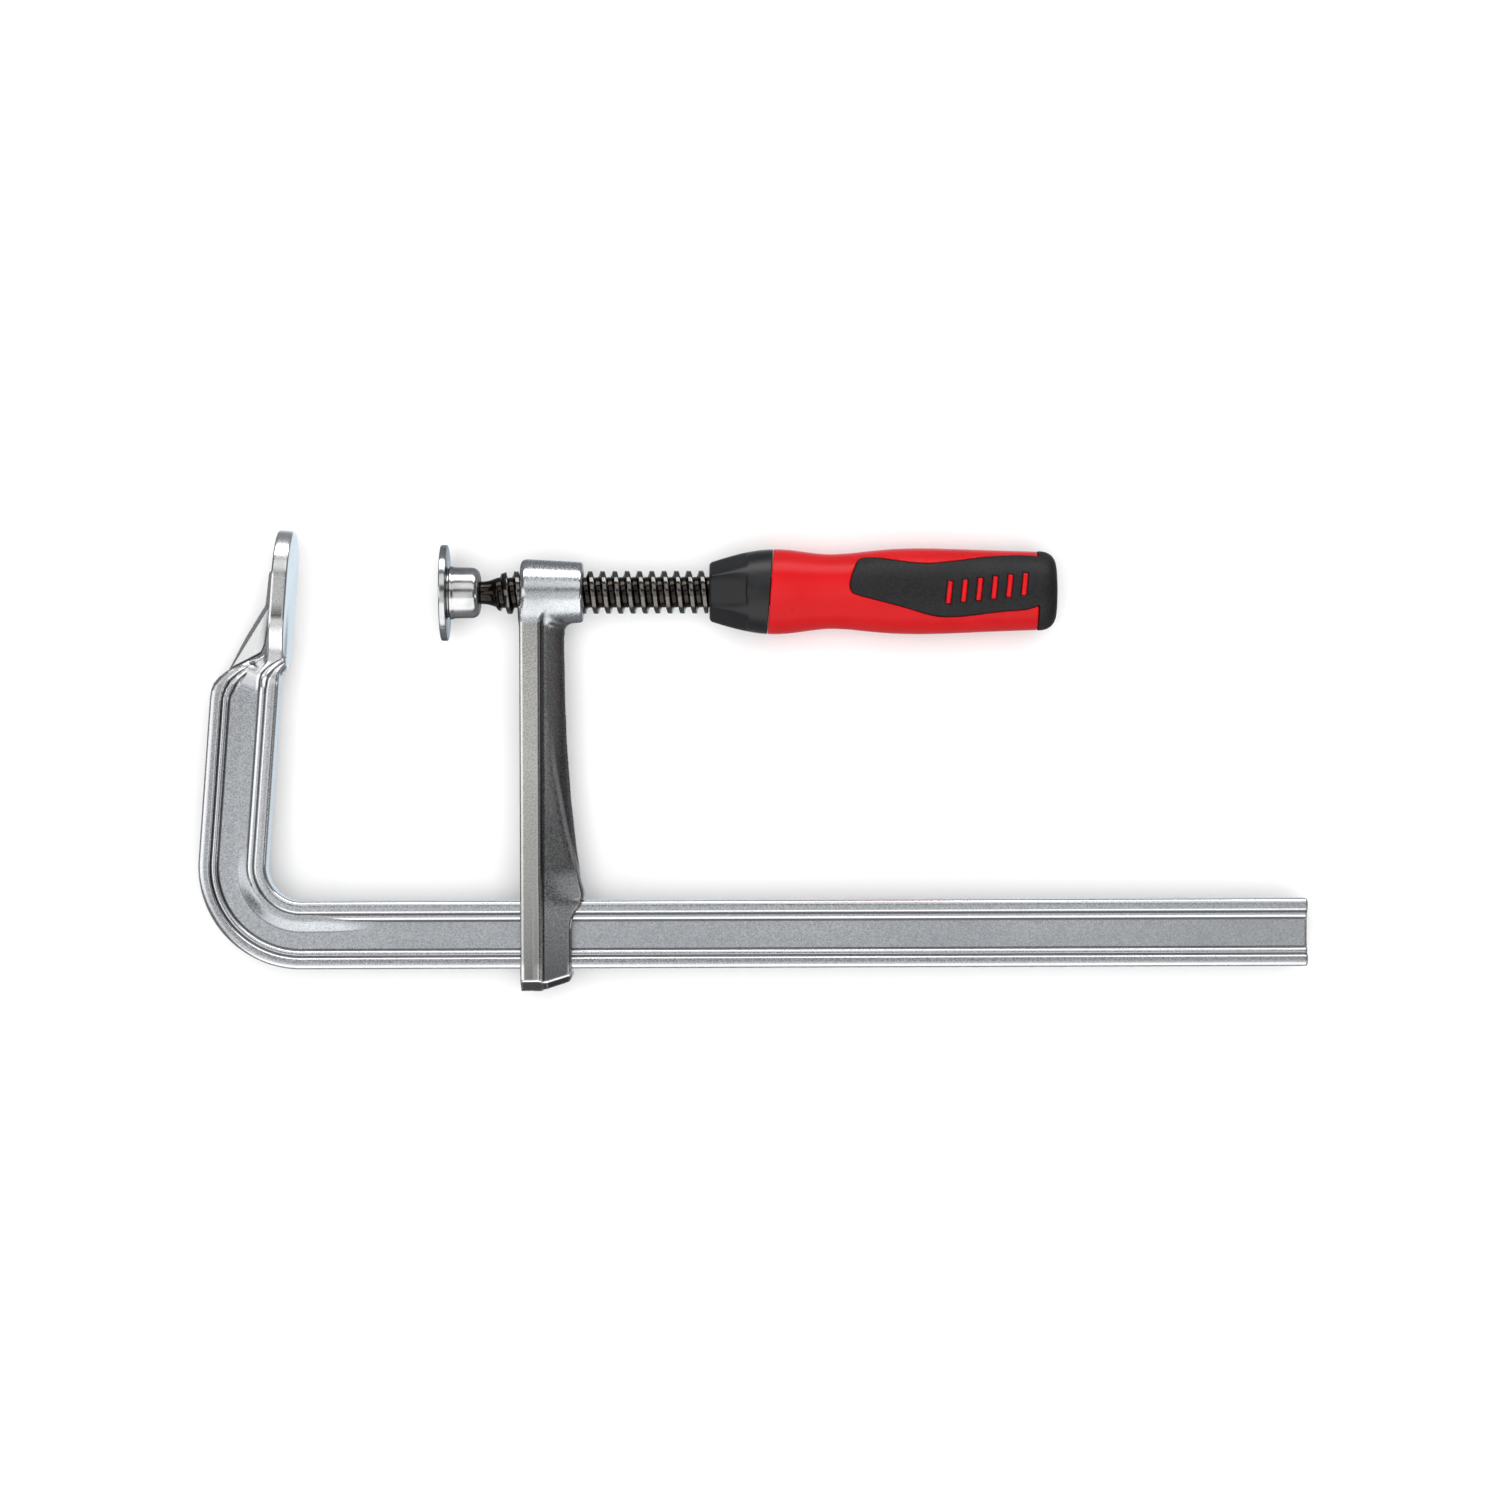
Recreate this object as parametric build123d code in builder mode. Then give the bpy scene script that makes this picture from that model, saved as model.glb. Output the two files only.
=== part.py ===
"""F clamp lying on its side: profiled rail bent into the fixed jaw, sliding arm, screw with tilting
pressure plate, and a two-part handle.

Frame, mm: origin where the screw axis meets the fixed jaw face, +X along the rail to its free end,
+Y from the rail to the screw, +Z out of the side of the clamp. The clamp is symmetric about Z = 0
apart from the thread and the split of the retaining ring.
"""
import math
import os

from build123d import *

# --- rail ---------------------------------------------------------------------------------------
THROAT = 100.0  # screw axis to the rail's inner edge
RAIL_HEIGHT = 22.0
RAIL_THICK = 10.5
RAIL_Y = -(THROAT + RAIL_HEIGHT / 2)
RAIL_END_X = 329.4
RAIL_END_CHAMFER = 0.8
BEND_X = 3.3  # where the bend starts
BEND_RADIUS = 22.3  # on the centreline
LEAN = 4.2  # degrees that the fixed arm leans toward the screw
# quarter of the rail's section: distance from the middle of the web, half thickness
RAIL_SECTION = [(4.6, 2.4), (5.4, 3.5), (6.5, 3.7), (6.9, 4.8), (7.6, RAIL_THICK / 2)]
RAIL_CORNER = 1.5
ARM_INSET = 1.5  # the fixed arm's edge to the jaw face
JOIN_OVERLAP = 2.0  # how far bodies that make one solid run into each other

# --- fixed jaw, in the leaning frame: distance from the jaw face, height along the arm ------------
JAW_WIDTH = 31.0
JAW_HEIGHT = 44.0
JAW_THICK = 5.2
JAW_EDGE = 0.9
JAW_MIDDLE = -1.75
HEAD_FOOT = -46.0
DISH_END = -38.5  # centre of the round ends of the web's dishes
DISH_RADIUS = 4.9
CREASE_RADIUS = 6.6
DISH_TAPER = 25.0
DISH_FOOT = -60.0  # the dishes run down into the rail's own section
CREASE_DEPTH_Z = 3.7
WEB_HALF = 2.4
HEAD_OUTLINE = [
    (-1.5, HEAD_FOOT), (-1.5, -25.5), (-0.6, -23.0), (-0.6, -4.0), (-4.6, -4.0), (-6.0, -13.5),
    (-6.8, -19.2), (-9.4, -22.0), (-12.5, -23.4), (-18.6, -26.4), (-21.1, -28.9), (-22.6, -30.9),
    (-23.3, -33.2), (-23.5, -36.0), (-23.5, HEAD_FOOT),
]
GUSSET_HALF = 3.1
GUSSET_OUTLINE = [
    (-1.0, -26.0), (-21.2, -28.8), (-7.9, -4.1), (-7.5, 6.0), (-4.6, 10.5), (-1.0, 10.5),
]

# --- sliding arm --------------------------------------------------------------------------------
ARM_FRONT_X = 74.4
FLANGE_THICK = 6.8
FLANGE_HALF = 8.3
FLANGE_EDGE = 1.0
BODY_INSET = 3.0  # the arm's body starts inside the flange
ARM_FOOT_Y = -129.4
CHEEK_FOOT_Y = -126.4
CHEEK_HALF = 7.9
ARM_SIDE = [  # half thickness of the arm, from the boss down to the foot
    (0.0, 4.7), (-20.0, 4.1), (-70.0, 4.5), (-84.0, 5.4), (-94.0, 6.8), (-102.0, CHEEK_HALF),
    (CHEEK_FOOT_Y, CHEEK_HALF), (ARM_FOOT_Y, 6.8),
]
ARM_TOP_Y = -4.0  # the arm starts inside the boss
FOOT_CHAMFER = 1.0
ARM_BACK = [  # back edge of the arm, from the boss down to the foot
    (88.7, -6.0), (88.8, -13.6), (89.4, -32.5), (89.7, -49.7), (90.7, -67.0), (92.6, -84.2),
    (93.9, -92.6), (94.9, -97.5), (94.7, -101.4), (92.3, -103.7), (91.4, -106.3),
    (91.1, -108.5), (91.1, -124.9), (90.2, -126.3), (82.6, -128.8),
]
SLOT_GAP = 0.35  # running gap on every side of the rail

# --- boss and thread ----------------------------------------------------------------------------
BOSS_X0, BOSS_X1 = 74.6, 94.9
BOSS_R0, BOSS_R1 = 11.0, 9.8
BOSS_CHAMFER = 0.7
BOSS_OUTLINE = [  # x, radius
    (BOSS_X0, 0.0), (BOSS_X0, 9.6), (BOSS_X0 + 0.5, 10.6), (BOSS_X0 + 1.6, BOSS_R0),
    (BOSS_X1 - BOSS_CHAMFER, BOSS_R1), (BOSS_X1, BOSS_R1 - BOSS_CHAMFER), (BOSS_X1, 0.0),
]
BORE_GAP = 0.3
NUT_TURNS = 9
PITCH = 4.0
THREAD_R = 7.0
ROOT_R = 5.0
CREST_FLAT = 1.3
FLANK_ANGLE = 15.0
THREAD_GAP = 0.25
THREAD_SINK = 0.15  # the ridge starts inside the screw's core
THREAD_START, THREAD_END = 66.15, 134.15  # a whole number of turns
LEAD_IN = [(64.0, 4.5), (70.6, THREAD_R + 0.05)]  # cone over the first turn: x, radius

# --- screw nose, pressure plate and its ring ------------------------------------------------------
BALL_X = 55.6
BALL_R = 4.6
NECK_R = 3.7
NECK_END_X = 62.8
NECK_FLARE = [(65.1, 4.2), (66.6, 4.75), (67.4, ROOT_R)]
RING_GROOVE = (57.4, 58.6)
RING_GROOVE_R = 3.2
RING_X = (57.6, 58.4)
RING_INNER, RING_OUTER = 3.5, 5.9
RING_SPLIT = 1.6
PLATE_FACE_X = 48.8
PLATE_THICK = 2.2
PLATE_R = 15.6
PLATE_EDGE = 0.8
CUP_R = 8.2
CUP_FOOT = [(0.0, 8.15), (0.5, 8.15), (0.7, 8.75), (1.2, 8.75), (2.0, 8.35)]  # behind plate, radius
CUP_END_X = 61.5
CUP_SHOULDER = 2.6
SEAT_GAP = 0.15
RING_ROOM_R = 6.6
RING_ROOM_X = (55.6, 59.9)
MOUTH_R = 5.2
MOUTH_CHAMFER = 0.3

# --- handle -------------------------------------------------------------------------------------
TANG_END_X = 188.0
TANG_TEETH = 12
TANG_R, TANG_TOOTH, TANG_TOOTH_WIDTH = 4.5, 0.45, 1.1
TANG_SHOULDER = 4.0  # plain length at each end of the teeth
TANG_GAP, TANG_END_GAP = 0.05, 0.3
TANG_STEP, TANG_END_EDGE = 0.6, 1.0
COLLAR_FRONT_X = 135.9
COLLAR_EDGE = 0.8
COLLAR_BACK_X = 155.7  # on the screw axis
COLLAR_SLANT = 4.3  # degrees
HANDLE_PROFILE = [  # distance along the axis, radius
    (COLLAR_FRONT_X, 9.6), (141.0, 11.1), (147.9, 12.8), (153.0, 13.6), (157.5, 13.8),
    (163.0, 13.45), (168.5, 12.7), (174.0, 12.15), (180.5, 12.35), (188.0, 13.1), (196.0, 13.75),
    (204.5, 13.95), (214.0, 13.75), (228.0, 13.2), (242.3, 12.7), (248.3, 12.35),
]
HANDLE_TANGENTS = ((1, 0.33), (1, -0.06))
HANDLE_END_X = HANDLE_PROFILE[-1][0]
HANDLE_END_FILLET = 4.6
FLAT_COUNT = 6
FLAT_LINE = [(134.0, 7.8), (147.9, 12.1)]  # flats of the collar: along the axis, apothem
GRIP_DEPTH = 1.6
GRIP_PROUD = 0.2
CAP_X = 242.3
GRIP_OUTLINE = [  # upper and lower edge of the soft inlay, seen from the side
    (184.2, 10.3), (186.2, 11.05), (191.0, 10.5), (199.6, 9.1), (205.8, 8.5), (212.0, 8.9),
    (227.1, 11.0), (CAP_X + 2, 13.4), (CAP_X + 2, -6.2), (230.7, -6.9), (219.3, -8.5),
    (212.2, -8.9), (207.0, -8.2), (199.6, -5.8), (187.8, -2.7), (182.6, -1.3), (181.3, 0.0),
    (181.2, 2.6), (182.6, 6.9),
]
MARK_COUNT = 6
MARK_PITCH = 4.9
MARK_SIZE = (1.7, 7.4)
MARK_CENTRE = (225.4, 0.4)
MARK_TILT = 6.0  # degrees
MARK_SHEAR = 12.0

# --- sizes of cutting tools, larger than what they cut --------------------------------------------
BEYOND_R = 20.0
BEYOND_X = 400.0
POCKET_REACH = 4.0


def lean(n, s):
    """Point of the clamp from its distance to the jaw face and its height along the fixed arm."""
    a = math.radians(LEAN)
    return (n * math.cos(a) + s * math.sin(a), -n * math.sin(a) + s * math.cos(a))


def save(part, name):
    """One STEP file for one piece."""
    part.part.label = name
    export_step(part.part, f"parts/{name}.step")


def revolved(points):
    """Solid of revolution about the screw axis from (x, radius) points of its outline."""
    with BuildPart() as body:
        with BuildSketch(Plane.XY):
            with BuildLine():
                Polyline(*points, close=True)
            make_face()
        revolve(axis=Axis.X)
    return body.part


def handle_blank(proud=0.0):
    """The whole handle's envelope, grown by a small amount."""
    pts = [(x, r + proud) for x, r in HANDLE_PROFILE]
    with BuildPart() as body:
        with BuildSketch(Plane.XY):
            with BuildLine():
                Line((COLLAR_FRONT_X, 0), pts[0])
                Spline(*pts, tangents=HANDLE_TANGENTS)
                Line(pts[-1], (HANDLE_END_X, 0))
                Line((HANDLE_END_X, 0), (COLLAR_FRONT_X, 0))
            make_face()
        revolve(axis=Axis.X)
        rim = body.edges().filter_by(GeomType.CIRCLE).group_by(Axis.X)[-1]
        fillet(rim, HANDLE_END_FILLET)
    return body.part


def thread_ridge(x0, x1, gap):
    """Helical ridge about the screw axis, grown by the gap on its crest and flanks."""
    depth = THREAD_R - ROOT_R + THREAD_SINK
    top = CREST_FLAT / 2 + gap
    foot = top + depth * math.tan(math.radians(FLANK_ANGLE))
    inner = ROOT_R - THREAD_SINK
    with BuildPart() as ridge:
        with BuildLine():
            Helix(pitch=PITCH, height=x1 - x0, radius=inner, center=(x0, 0, 0), direction=(1, 0, 0))
        start = ridge.pending_edges[0] @ 0
        out = Vector(0, start.Y, start.Z).normalized()
        with BuildSketch(Plane(origin=start, x_dir=(1, 0, 0), z_dir=Vector(1, 0, 0).cross(out))):
            with BuildLine():
                Polyline((-foot, 0), (-top, depth + gap), (top, depth + gap), (foot, 0), close=True)
            make_face()
        sweep(is_frenet=True)
    return ridge.part


os.makedirs("parts", exist_ok=True)

# --- rail with the fixed jaw: one drawn, bent and forged piece --------------------------------------
half = RAIL_HEIGHT / 2
quarter = RAIL_SECTION + [(half, RAIL_THICK / 2)]
section = (
    quarter
    + [(w, -z) for w, z in reversed(quarter)]
    + [(-w, -z) for w, z in quarter]
    + [(-w, z) for w, z in reversed(quarter)]
)
bend_centre = Vector(BEND_X, RAIL_Y + BEND_RADIUS)
bend_stop = (
    bend_centre.X - BEND_RADIUS * math.cos(math.radians(LEAN)),
    bend_centre.Y + BEND_RADIUS * math.sin(math.radians(LEAN)),
)
arm_middle = -(half + ARM_INSET)  # of the fixed arm, from the jaw face
with BuildPart() as jaw_plate:
    with BuildSketch(Plane(origin=(0, 0, 0), x_dir=(*lean(0, 1), 0), z_dir=(*lean(1, 0), 0))):
        with Locations((JAW_MIDDLE, 0)):
            SlotOverall(JAW_HEIGHT, JAW_WIDTH)
    extrude(amount=-JAW_THICK)
    fillet(jaw_plate.edges(), JAW_EDGE)
with BuildPart() as rail_with_fixed_jaw:
    with BuildLine():
        Line((RAIL_END_X, RAIL_Y), (BEND_X, RAIL_Y))
        mid = math.radians(180 + (90 - LEAN) / 2)
        ThreePointArc(
            (BEND_X, RAIL_Y),
            bend_centre + Vector(math.cos(mid), math.sin(mid)) * BEND_RADIUS,
            bend_stop,
        )
        rise = HEAD_FOOT + JOIN_OVERLAP - (bend_stop[0] * math.sin(math.radians(LEAN))
                                           + bend_stop[1] * math.cos(math.radians(LEAN)))
        Line(bend_stop, Vector(*bend_stop) + Vector(*lean(0, 1)) * rise)
    with BuildSketch(Plane(origin=(RAIL_END_X, RAIL_Y, 0), x_dir=(0, 1, 0), z_dir=(-1, 0, 0))) as sk:
        with BuildLine():
            Polyline(*section, close=True)
        make_face()
        corners = sk.vertices().filter_by(lambda v: abs(abs(v.Y - RAIL_Y) - half) < 0.01)
        fillet(corners, RAIL_CORNER)
    sweep()
    chamfer(rail_with_fixed_jaw.faces().sort_by(Axis.X)[-1].edges(), RAIL_END_CHAMFER)
    with BuildSketch(Plane.XY):
        with BuildLine():
            Polyline(*[lean(n, s) for n, s in HEAD_OUTLINE], close=True)
        make_face()
    extrude(amount=RAIL_THICK / 2, both=True)
    with BuildSketch(Plane.XY):
        with BuildLine():
            Polyline(*[lean(n, s) for n, s in GUSSET_OUTLINE], close=True)
        make_face()
    extrude(amount=GUSSET_HALF, both=True)
    add(jaw_plate.part)
    for radius, level in ((CREASE_RADIUS, CREASE_DEPTH_Z), (DISH_RADIUS, WEB_HALF)):
        for side in (1, -1):
            with BuildSketch(Plane.XY.offset(side * level)):
                with BuildLine():
                    a, b = lean(arm_middle - radius, DISH_END), lean(arm_middle + radius, DISH_END)
                    c, d = lean(arm_middle + radius, DISH_FOOT), lean(arm_middle - radius, DISH_FOOT)
                    ThreePointArc(a, lean(arm_middle, DISH_END + radius), b)
                    Polyline(b, c, d, a)
                make_face()
            extrude(amount=side * POCKET_REACH, taper=-DISH_TAPER, mode=Mode.SUBTRACT)
save(rail_with_fixed_jaw, "rail_with_fixed_jaw")

# --- sliding arm ----------------------------------------------------------------------------------
thread = thread_ridge(THREAD_START, THREAD_END, 0)
nut_groove = thread_ridge(THREAD_START, THREAD_START + NUT_TURNS * PITCH, THREAD_GAP)
with BuildPart() as arm_flange:
    with BuildSketch(Plane.XY):
        with BuildLine():
            x0, x1 = ARM_FRONT_X, ARM_FRONT_X + FLANGE_THICK
            Polyline(
                (x0, ARM_TOP_Y), (x0, ARM_FOOT_Y + FOOT_CHAMFER), (x0 + FOOT_CHAMFER, ARM_FOOT_Y),
                (x1, ARM_FOOT_Y), (x1, ARM_TOP_Y), close=True,
            )
        make_face()
    extrude(amount=FLANGE_HALF, both=True)
    fillet(arm_flange.edges().filter_by(Axis.Y), FLANGE_EDGE)
with BuildPart() as sliding_arm:
    with BuildSketch(Plane.XY):
        with BuildLine():
            inner_x = ARM_FRONT_X + BODY_INSET
            Polyline((inner_x, ARM_BACK[0][1]), *ARM_BACK, (inner_x, ARM_BACK[-1][1]), close=True)
        make_face()
    extrude(amount=BEYOND_R, both=True)
    with BuildSketch(Plane.YZ):
        with BuildLine():
            Polyline(*ARM_SIDE, *[(y, -z) for y, z in reversed(ARM_SIDE)], close=True)
        make_face()
    extrude(amount=BEYOND_X, mode=Mode.INTERSECT)
    add(arm_flange.part)
    with BuildSketch(Plane.XY):
        with BuildLine():
            Polyline(*BOSS_OUTLINE, close=True)
        make_face()
    revolve(axis=Axis.X)
    with Locations((0, RAIL_Y, 0)):
        Box(BEYOND_X, RAIL_HEIGHT + 2 * SLOT_GAP, RAIL_THICK + 2 * SLOT_GAP, mode=Mode.SUBTRACT)
    with Locations((BOSS_X0, 0, 0)):
        Cylinder(ROOT_R + BORE_GAP, BEYOND_X, rotation=(0, 90, 0), mode=Mode.SUBTRACT)
    add(nut_groove, mode=Mode.SUBTRACT)
save(sliding_arm, "sliding_arm")

# --- spindle --------------------------------------------------------------------------------------
ball_back = math.sqrt(BALL_R**2 - (RING_GROOVE[0] - BALL_X) ** 2)
with BuildPart() as spindle:
    with BuildSketch(Plane.XY):
        with BuildLine():
            ThreePointArc(
                (BALL_X - BALL_R, 0),
                (BALL_X - BALL_R * math.cos(math.radians(60)), BALL_R * math.sin(math.radians(60))),
                (RING_GROOVE[0], ball_back),
            )
            Polyline(
                (RING_GROOVE[0], ball_back), (RING_GROOVE[0], RING_GROOVE_R),
                (RING_GROOVE[1], RING_GROOVE_R), (RING_GROOVE[1], NECK_R), (NECK_END_X, NECK_R),
                *NECK_FLARE, (COLLAR_FRONT_X, ROOT_R),
                (COLLAR_FRONT_X + TANG_STEP, TANG_R), (TANG_END_X - TANG_END_EDGE, TANG_R),
                (TANG_END_X, TANG_R - TANG_END_EDGE), (TANG_END_X, 0), (BALL_X - BALL_R, 0),
            )
        make_face()
    revolve(axis=Axis.X)
    add(thread)
    with BuildSketch(Plane.XY):
        with BuildLine():
            Polyline(*LEAD_IN, (LEAD_IN[1][0], BEYOND_R), (LEAD_IN[0][0], BEYOND_R), close=True)
        make_face()
    revolve(axis=Axis.X, mode=Mode.SUBTRACT)
    with BuildSketch(Plane.YZ.offset(COLLAR_FRONT_X + TANG_SHOULDER)):
        with PolarLocations(TANG_R, TANG_TEETH):
            Rectangle(2 * TANG_TOOTH, TANG_TOOTH_WIDTH)
    extrude(amount=TANG_END_X - COLLAR_FRONT_X - 2 * TANG_SHOULDER)
save(spindle, "spindle")

# --- retaining ring in the groove behind the ball ---------------------------------------------------
with BuildPart() as pad_retaining_ring:
    with BuildSketch(Plane.YZ.offset(RING_X[0])):
        Circle(RING_OUTER)
        Circle(RING_INNER, mode=Mode.SUBTRACT)
        with Locations((0, -RING_OUTER)):
            Rectangle(RING_SPLIT, 2 * RING_OUTER, mode=Mode.SUBTRACT)
    extrude(amount=RING_X[1] - RING_X[0])
save(pad_retaining_ring, "pad_retaining_ring")

# --- pressure plate with its ball cup ---------------------------------------------------------------
back = PLATE_FACE_X + PLATE_THICK
seat = BALL_R + SEAT_GAP
bulge = CUP_SHOULDER * (1 - math.cos(math.radians(45)))
with BuildPart() as pressure_plate:
    with BuildSketch(Plane.XY):
        with BuildLine():
            Polyline(
                (PLATE_FACE_X, 0), (PLATE_FACE_X, PLATE_R - PLATE_EDGE),
                (PLATE_FACE_X + PLATE_EDGE, PLATE_R), (back - PLATE_EDGE, PLATE_R),
                (back, PLATE_R - PLATE_EDGE), *[(back + x, r) for x, r in CUP_FOOT],
                (CUP_END_X - CUP_SHOULDER, CUP_R),
            )
            ThreePointArc(
                (CUP_END_X - CUP_SHOULDER, CUP_R),
                (CUP_END_X - bulge, CUP_R - bulge),
                (CUP_END_X, CUP_R - CUP_SHOULDER),
            )
            Polyline(
                (CUP_END_X, CUP_R - CUP_SHOULDER), (CUP_END_X, MOUTH_R + MOUTH_CHAMFER),
                (CUP_END_X - MOUTH_CHAMFER, MOUTH_R), (RING_ROOM_X[1], MOUTH_R),
                (RING_ROOM_X[1], RING_ROOM_R), (RING_ROOM_X[0], RING_ROOM_R),
                (RING_ROOM_X[0], seat),
            )
            ThreePointArc(
                (BALL_X, seat),
                (BALL_X - seat * math.sin(math.radians(45)), seat * math.sin(math.radians(45))),
                (BALL_X - seat, 0),
            )
            Line((BALL_X - seat, 0), (PLATE_FACE_X, 0))
        make_face()
    revolve(axis=Axis.X)
save(pressure_plate, "pressure_plate")

# --- handle: front collar, hard core, soft grip -------------------------------------------------------
blank = handle_blank()
cut_plane = Plane(
    origin=(COLLAR_BACK_X, 0, 0), x_dir=(0, 0, 1),
    z_dir=(math.cos(math.radians(COLLAR_SLANT)), -math.sin(math.radians(COLLAR_SLANT)), 0),
)
with BuildPart() as bore:
    with Locations((COLLAR_FRONT_X, 0, 0)):
        Cylinder(TANG_R + TANG_TOOTH + TANG_GAP, 2 * (TANG_END_X + TANG_END_GAP - COLLAR_FRONT_X),
                 rotation=(0, 90, 0))
with BuildPart() as handle_front_collar:
    add(blank)
    split(bisect_by=cut_plane, keep=Keep.BOTTOM)
    rim = handle_front_collar.edges().filter_by(GeomType.CIRCLE).group_by(Axis.X)[0]
    chamfer(rim, COLLAR_EDGE)
    for i in range(FLAT_COUNT):
        turn = Plane.XY.rotated((i * 360 / FLAT_COUNT + 90, 0, 0))
        with BuildSketch(turn):
            with BuildLine():
                Polyline(*FLAT_LINE, (FLAT_LINE[1][0], BEYOND_R), (FLAT_LINE[0][0], BEYOND_R),
                         close=True)
            make_face()
        extrude(amount=BEYOND_R, both=True, mode=Mode.SUBTRACT)
    add(bore.part, mode=Mode.SUBTRACT)
save(handle_front_collar, "handle_front_collar")

with BuildPart() as inlay_prism:
    with BuildSketch(Plane.XY):
        with BuildLine():
            Polyline(*GRIP_OUTLINE, close=True)
        make_face()
        for i in range(MARK_COUNT):
            step = (i - (MARK_COUNT - 1) / 2) * MARK_PITCH
            a = math.radians(MARK_TILT)
            with Locations(Location((MARK_CENTRE[0] + step * math.cos(a),
                                     MARK_CENTRE[1] + step * math.sin(a), 0),
                                    (0, 0, MARK_TILT - MARK_SHEAR))):
                Rectangle(*MARK_SIZE, mode=Mode.SUBTRACT)
    extrude(amount=BEYOND_R, both=True)
with BuildPart() as soft_grip:
    add(handle_blank(GRIP_PROUD))
    add(inlay_prism.part, mode=Mode.INTERSECT)
    add(handle_blank(-GRIP_DEPTH), mode=Mode.SUBTRACT)
    with BuildPart(mode=Mode.PRIVATE) as cap:
        add(handle_blank(GRIP_PROUD))
        split(bisect_by=Plane.YZ.offset(CAP_X), keep=Keep.TOP)
    add(cap.part)
save(soft_grip, "soft_grip")

with BuildPart() as handle_core:
    add(blank)
    split(bisect_by=cut_plane, keep=Keep.TOP)
    split(bisect_by=Plane.YZ.offset(CAP_X), keep=Keep.BOTTOM)
    add(bore.part, mode=Mode.SUBTRACT)
    add(soft_grip.part, mode=Mode.SUBTRACT)
save(handle_core, "handle_core")
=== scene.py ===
"""Looks of the f clamp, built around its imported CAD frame. Lengths in this script are millimetres
unless a name says otherwise; they become metres where a mesh is made. The forged and moulded pieces
are signed distance fields, so that their edges and joins are rounded as on the real thing."""

import math

import bpy
import numpy as np
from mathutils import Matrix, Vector


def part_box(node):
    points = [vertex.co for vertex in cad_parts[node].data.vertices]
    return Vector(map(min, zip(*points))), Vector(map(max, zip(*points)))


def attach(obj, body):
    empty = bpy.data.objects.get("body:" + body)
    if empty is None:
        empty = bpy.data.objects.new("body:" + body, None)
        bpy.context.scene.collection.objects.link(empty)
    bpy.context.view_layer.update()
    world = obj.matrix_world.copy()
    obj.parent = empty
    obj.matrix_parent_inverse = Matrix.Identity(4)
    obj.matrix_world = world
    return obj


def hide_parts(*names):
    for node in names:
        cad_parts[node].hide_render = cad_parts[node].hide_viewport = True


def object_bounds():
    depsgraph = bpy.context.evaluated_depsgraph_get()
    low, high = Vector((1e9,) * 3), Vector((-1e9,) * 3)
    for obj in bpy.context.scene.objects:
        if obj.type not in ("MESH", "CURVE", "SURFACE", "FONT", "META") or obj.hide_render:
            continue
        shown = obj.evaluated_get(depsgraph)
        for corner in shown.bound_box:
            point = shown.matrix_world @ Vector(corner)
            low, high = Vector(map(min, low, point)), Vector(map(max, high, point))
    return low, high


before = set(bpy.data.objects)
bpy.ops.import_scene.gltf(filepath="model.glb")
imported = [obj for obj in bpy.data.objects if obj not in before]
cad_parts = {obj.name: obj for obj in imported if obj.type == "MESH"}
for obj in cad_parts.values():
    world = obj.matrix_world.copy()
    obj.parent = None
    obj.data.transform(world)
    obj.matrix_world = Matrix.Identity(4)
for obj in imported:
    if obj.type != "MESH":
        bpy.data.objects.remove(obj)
cad_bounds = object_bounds()
MM = 0.001


def box_mm(node):
    """Lowest and highest corner of a CAD node in millimetres."""
    low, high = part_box(node)
    return np.array(low) / MM, np.array(high) / MM


# --- sizes shared with the CAD ----------------------------------------------------------------------
RAIL_HEIGHT, RAIL_THICK = 22.0, 10.5
RAIL_Y = -111.0
RAIL_END_X = box_mm("rail_with_fixed_jaw")[1][0]
BEND_X, BEND_RADIUS = 3.3, 22.3
LEAN = math.radians(4.2)
ARM_MIDDLE = -12.5
JAW_WIDTH, JAW_HEIGHT, JAW_THICK, JAW_MIDDLE = 31.0, 44.0, 5.2, -1.75
ARM_FRONT_X = box_mm("sliding_arm")[0][0]
BOSS_X0, BOSS_X1, BOSS_R0, BOSS_R1 = 74.6, 94.9, 11.0, 9.8
PITCH, THREAD_R, ROOT_R = 4.0, 7.0, 5.0
THREAD_TOP_X = 69.15  # middle of a crest on the +Y side
COLLAR_FRONT_X, COLLAR_BACK_X = 135.9, 155.7
COLLAR_SLANT = math.radians(4.3)
CAP_X = 242.3
HANDLE_PROFILE = [
    (COLLAR_FRONT_X, 9.6), (141.0, 11.1), (147.9, 12.8), (153.0, 13.6), (157.5, 13.8),
    (163.0, 13.45), (168.5, 12.7), (174.0, 12.15), (180.5, 12.35), (188.0, 13.1), (196.0, 13.75),
    (204.5, 13.95), (214.0, 13.75), (228.0, 13.2), (CAP_X, 12.7), (248.3, 12.35),
]


# --- field helpers ------------------------------------------------------------------------------------
def smooth_max(a, b, k):
    """Intersection whose edge is rounded over about k."""
    h = np.clip(0.5 + 0.5 * (a - b) / k, 0, 1)
    return b * (1 - h) + a * h + k * h * (1 - h)


def smooth_min(a, b, k):
    """Union whose join is filleted over about k."""
    return -smooth_max(-a, -b, k)


def ramp(x, low, high):
    """0 below low, 1 above high, smooth between."""
    t = np.clip((x - low) / (high - low), 0, 1)
    return t * t * (3 - 2 * t)


def line_distance(x, y, points, closed=False):
    """Distance from (x, y) to a chain of straight runs."""
    ends = points[1:] + points[:1] if closed else points[1:]
    best = None
    for (ax, ay), (bx, by) in zip(points, ends):
        ux, uy = bx - ax, by - ay
        t = np.clip(((x - ax) * ux + (y - ay) * uy) / (ux * ux + uy * uy), 0, 1)
        d = np.hypot(x - ax - t * ux, y - ay - t * uy)
        best = d if best is None else np.minimum(best, d)
    return best


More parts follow.
